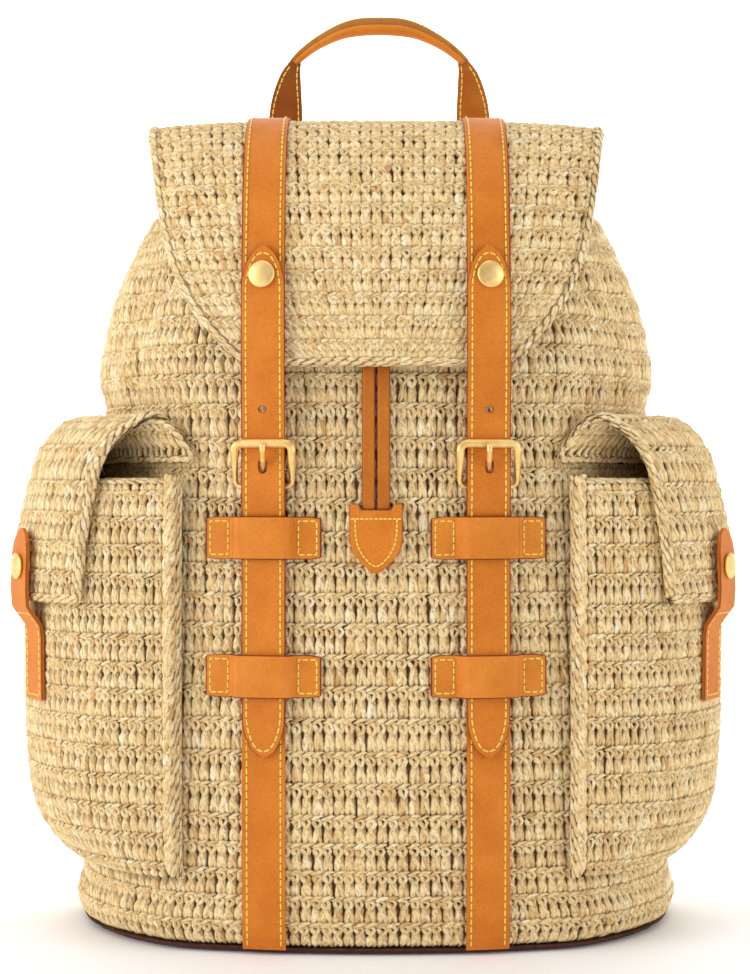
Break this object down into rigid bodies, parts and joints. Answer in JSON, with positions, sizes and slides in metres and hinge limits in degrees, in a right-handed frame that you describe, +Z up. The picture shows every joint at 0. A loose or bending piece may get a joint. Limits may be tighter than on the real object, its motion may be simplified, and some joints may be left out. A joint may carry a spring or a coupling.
{
  "type": "backpack",
  "caption": "Crocheted straw backpack with a wide front flap, flapped side pockets, leather straps, brass buckles, studs, a drawstring and a top carrying handle",
  "frame": {"origin": "middle of the underside of the base, where the bag stands", "axes": "+Z up, front toward -Y, +X to the right of a viewer who faces the front"},
  "size_m": [0.3809, 0.2113, 0.4952],
  "materials": {
    "straw": "crocheted raffia",
    "tan_leather": "smooth vegetable tanned",
    "dark_leather": "dark painted edge",
    "brass": "polished"
  },
  "bodies": {
    "root": {"base_panel": "dark_leather", "body_shell": "straw", "flap": "straw", "drawstring_loop": "tan_leather", "drawstring_tab": "tan_leather", "handle_grip": "tan_leather", "flap_strap_left": "tan_leather", "belt_strap_left": "tan_leather", "base_strap_left": "tan_leather", "buckle_frame_left": "brass", "buckle_prong_left": "brass", "belt_stud_left": "brass", "keeper_left_upper": "tan_leather", "keeper_left_lower": "tan_leather", "pocket_left": "straw", "pocket_flap_left": "straw", "pocket_tab_left": "tan_leather", "pocket_snap_left": "brass", "pocket_stud_left": "brass", "drawstring_lace_left": "tan_leather", "handle_strap_left": "tan_leather", "shoulder_strap_left": "tan_leather", "flap_strap_right": "tan_leather", "belt_strap_right": "tan_leather", "base_strap_right": "tan_leather", "buckle_frame_right": "brass", "buckle_prong_right": "brass", "belt_stud_right": "brass", "keeper_right_upper": "tan_leather", "keeper_right_lower": "tan_leather", "pocket_right": "straw", "pocket_flap_right": "straw", "pocket_tab_right": "tan_leather", "pocket_snap_right": "brass", "pocket_stud_right": "brass", "drawstring_lace_right": "tan_leather", "handle_strap_right": "tan_leather", "shoulder_strap_right": "tan_leather"}
  },
  "joints": []
}
